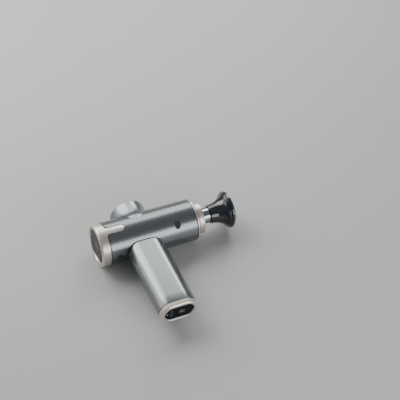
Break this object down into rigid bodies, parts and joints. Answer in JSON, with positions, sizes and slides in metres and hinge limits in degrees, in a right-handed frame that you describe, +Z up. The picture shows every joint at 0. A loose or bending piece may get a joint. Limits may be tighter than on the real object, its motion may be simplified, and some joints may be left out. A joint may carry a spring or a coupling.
{
  "type": "massage gun",
  "caption": "Handheld percussion massage gun: round barrel with a motor housing behind it, race-track handle, metal trim, chrome piston and a plug-in trumpet head.",
  "frame": {"origin": "middle of the outline, on the floor under the gun as it lies on its side", "axes": "+X along the barrel towards the massage head, -Y along the handle, +Z up, square to both"},
  "size_m": [0.1688, 0.1582, 0.0504],
  "materials": {
    "gunmetal": "satin metallic paint",
    "silver": "satin metallic paint",
    "champagne": "satin anodised champagne",
    "dark_champagne": "satin anodised, darker",
    "black_glass": "polished black window",
    "gloss_black": "polished",
    "rubber": "matt",
    "chrome": "polished",
    "steel": "plain ground",
    "alloy": "as cast",
    "bronze": "sintered",
    "copper": "enamelled wire",
    "nylon": "moulded",
    "circuit_board": "solder mask",
    "lens": "frosted clear",
    "cell_wrap": "shrink wrap",
    "red_lead": "insulation",
    "black_lead": "insulation"
  },
  "bodies": {
    "housing": {"barrel_shell_left": "gunmetal", "barrel_shell_right": "gunmetal", "rear_cap": "champagne", "rear_panel": "dark_champagne", "display_window": "black_glass", "display_module": "nylon", "status_lens": "lens", "control_board": "circuit_board", "front_collar": "champagne", "linear_bush": "bronze", "shaft_seal": "rubber", "bush_carrier": "nylon", "side_plug": "rubber", "side_screw": "steel", "motor_mount": "alloy", "front_motor_bearing": "steel", "rear_motor_bearing": "steel", "motor_stator": "steel", "motor_windings": "copper", "handle_sleeve": "silver", "handle_gasket": "rubber", "end_ring": "champagne", "end_panel": "black_glass", "charging_port": "steel", "charge_lens": "lens", "port_board": "circuit_board", "mode_switch": "nylon", "thumb_switch": "nylon", "switch_board": "circuit_board", "battery_cell_1": "cell_wrap", "battery_cell_2": "cell_wrap", "cell_holder_upper": "nylon", "cell_holder_lower": "nylon", "battery_board": "circuit_board", "battery_sled": "nylon", "battery_lead": "red_lead", "motor_lead": "black_lead", "carrier_screw_1": "steel", "motor_screw_1": "steel", "carrier_screw_2": "steel", "motor_screw_2": "steel", "carrier_screw_3": "steel", "motor_screw_3": "steel", "carrier_screw_4": "steel", "motor_screw_4": "steel"},
    "rotor": {"rotor_bell": "steel", "rotor_magnets": "alloy", "motor_shaft": "steel", "crank_disc": "bronze", "crank_pin": "steel"},
    "rod": {"connecting_rod": "alloy", "rod_bearing": "steel"},
    "piston": {"piston_shaft": "chrome", "wrist_pin": "steel"},
    "head": {"head_core": "gloss_black", "head_pad": "gloss_black", "head_o_ring_1": "rubber", "head_o_ring_2": "rubber"},
    "thumb_key": {"thumb_button": "rubber"},
    "mode_key": {"mode_button": "gloss_black"}
  },
  "joints": [
    {"name": "motor_spin", "type": "hinge", "parent": "housing", "child": "rotor", "pos_m": [-0.0328, 0.04315, 0.02512], "axis": [0, 1, 0], "continuous": true},
    {"name": "rod_on_crank_pin", "type": "hinge", "parent": "rotor", "child": "rod", "pos_m": [-0.0378, 0.04315, 0.02512], "axis": [0, 1, 0], "continuous": true},
    {"name": "piston_slide", "type": "slide", "parent": "housing", "child": "piston", "axis": [1, 0, 0], "range_m": [0, 0.01]},
    {"name": "head_pull", "type": "slide", "parent": "piston", "child": "head", "axis": [1, 0, 0], "range_m": [0, 0.029]},
    {"name": "thumb_press", "type": "slide", "parent": "housing", "child": "thumb_key", "axis": [0, 1, 0], "range_m": [0, 0.0006], "stiffness_N_per_m": 1500, "springref_m": -0.0003},
    {"name": "mode_press", "type": "slide", "parent": "housing", "child": "mode_key", "axis": [0, 1, 0], "range_m": [0, 0.0006], "stiffness_N_per_m": 1500, "springref_m": -0.0003}
  ],
  "couplings": [
    {"joint": "rod_on_crank_pin", "follows": "motor_spin", "ratio": -1}
  ]
}
